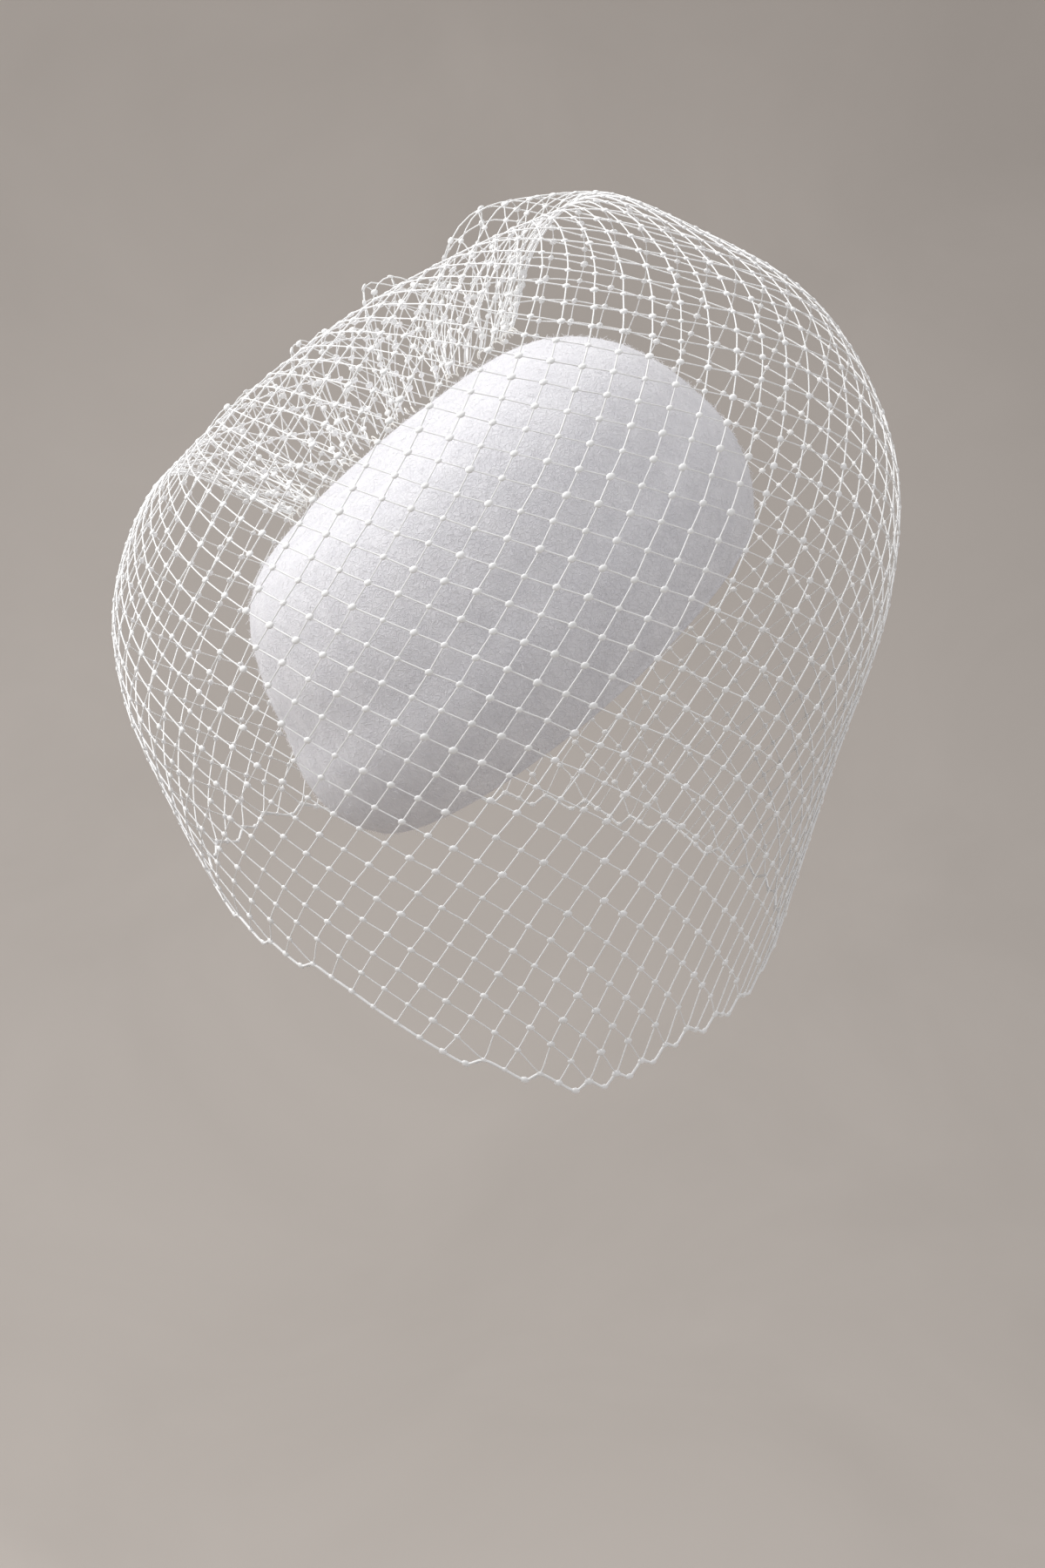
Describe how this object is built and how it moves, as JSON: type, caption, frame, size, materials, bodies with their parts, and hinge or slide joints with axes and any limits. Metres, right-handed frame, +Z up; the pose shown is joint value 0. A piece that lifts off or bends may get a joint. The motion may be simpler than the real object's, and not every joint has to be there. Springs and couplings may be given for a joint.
{
  "type": "pillbox hat with a veil",
  "caption": "White wool felt pillbox hat, worn tilted, with a gathered net veil over the face.",
  "frame": {"origin": "centre of the rim opening, where the hat sits on a head", "axes": "+Z up along a standing wearer, -Y the way the wearer looks, +X to the wearer's left; the hat leans 39.6 degrees towards -X"},
  "size_m": [0.2514, 0.2063, 0.2582],
  "materials": {
    "felt": "soft white wool felt",
    "net": "white nylon net with small knots",
    "comb": "clear moulded plastic"
  },
  "bodies": {
    "root": {"felt_crown": "felt", "veil": "net", "hair_comb": "comb"}
  },
  "joints": []
}
